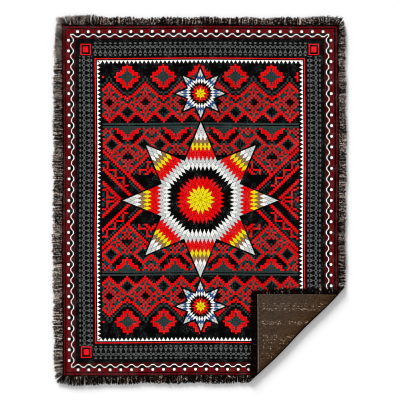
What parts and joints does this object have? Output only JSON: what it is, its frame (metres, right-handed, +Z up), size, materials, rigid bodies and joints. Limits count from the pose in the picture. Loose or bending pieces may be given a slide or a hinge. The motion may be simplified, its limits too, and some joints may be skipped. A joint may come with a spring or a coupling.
{
  "type": "woven throw blanket with fringe, spread flat with one corner turned over",
  "caption": "Rectangular jacquard-woven throw spread out flat, its lower right corner folded over onto the face, with a short crinkled fringe along all four edges.",
  "frame": {"origin": "on the floor under the middle of the laid throw, fringe included", "axes": "+X to the right and +Y towards the top edge as seen from above, +Z up"},
  "size_m": [1.3834, 1.7304, 0.014],
  "materials": {
    "cloth": "matt woven cotton",
    "fringe": "matt crinkled yarn"
  },
  "bodies": {
    "root": {"blanket": "cloth", "fringe_top": "fringe", "fringe_left": "fringe", "fringe_right": "fringe", "fringe_bottom": "fringe", "fringe_right_turned": "fringe", "fringe_bottom_turned": "fringe"}
  },
  "joints": []
}
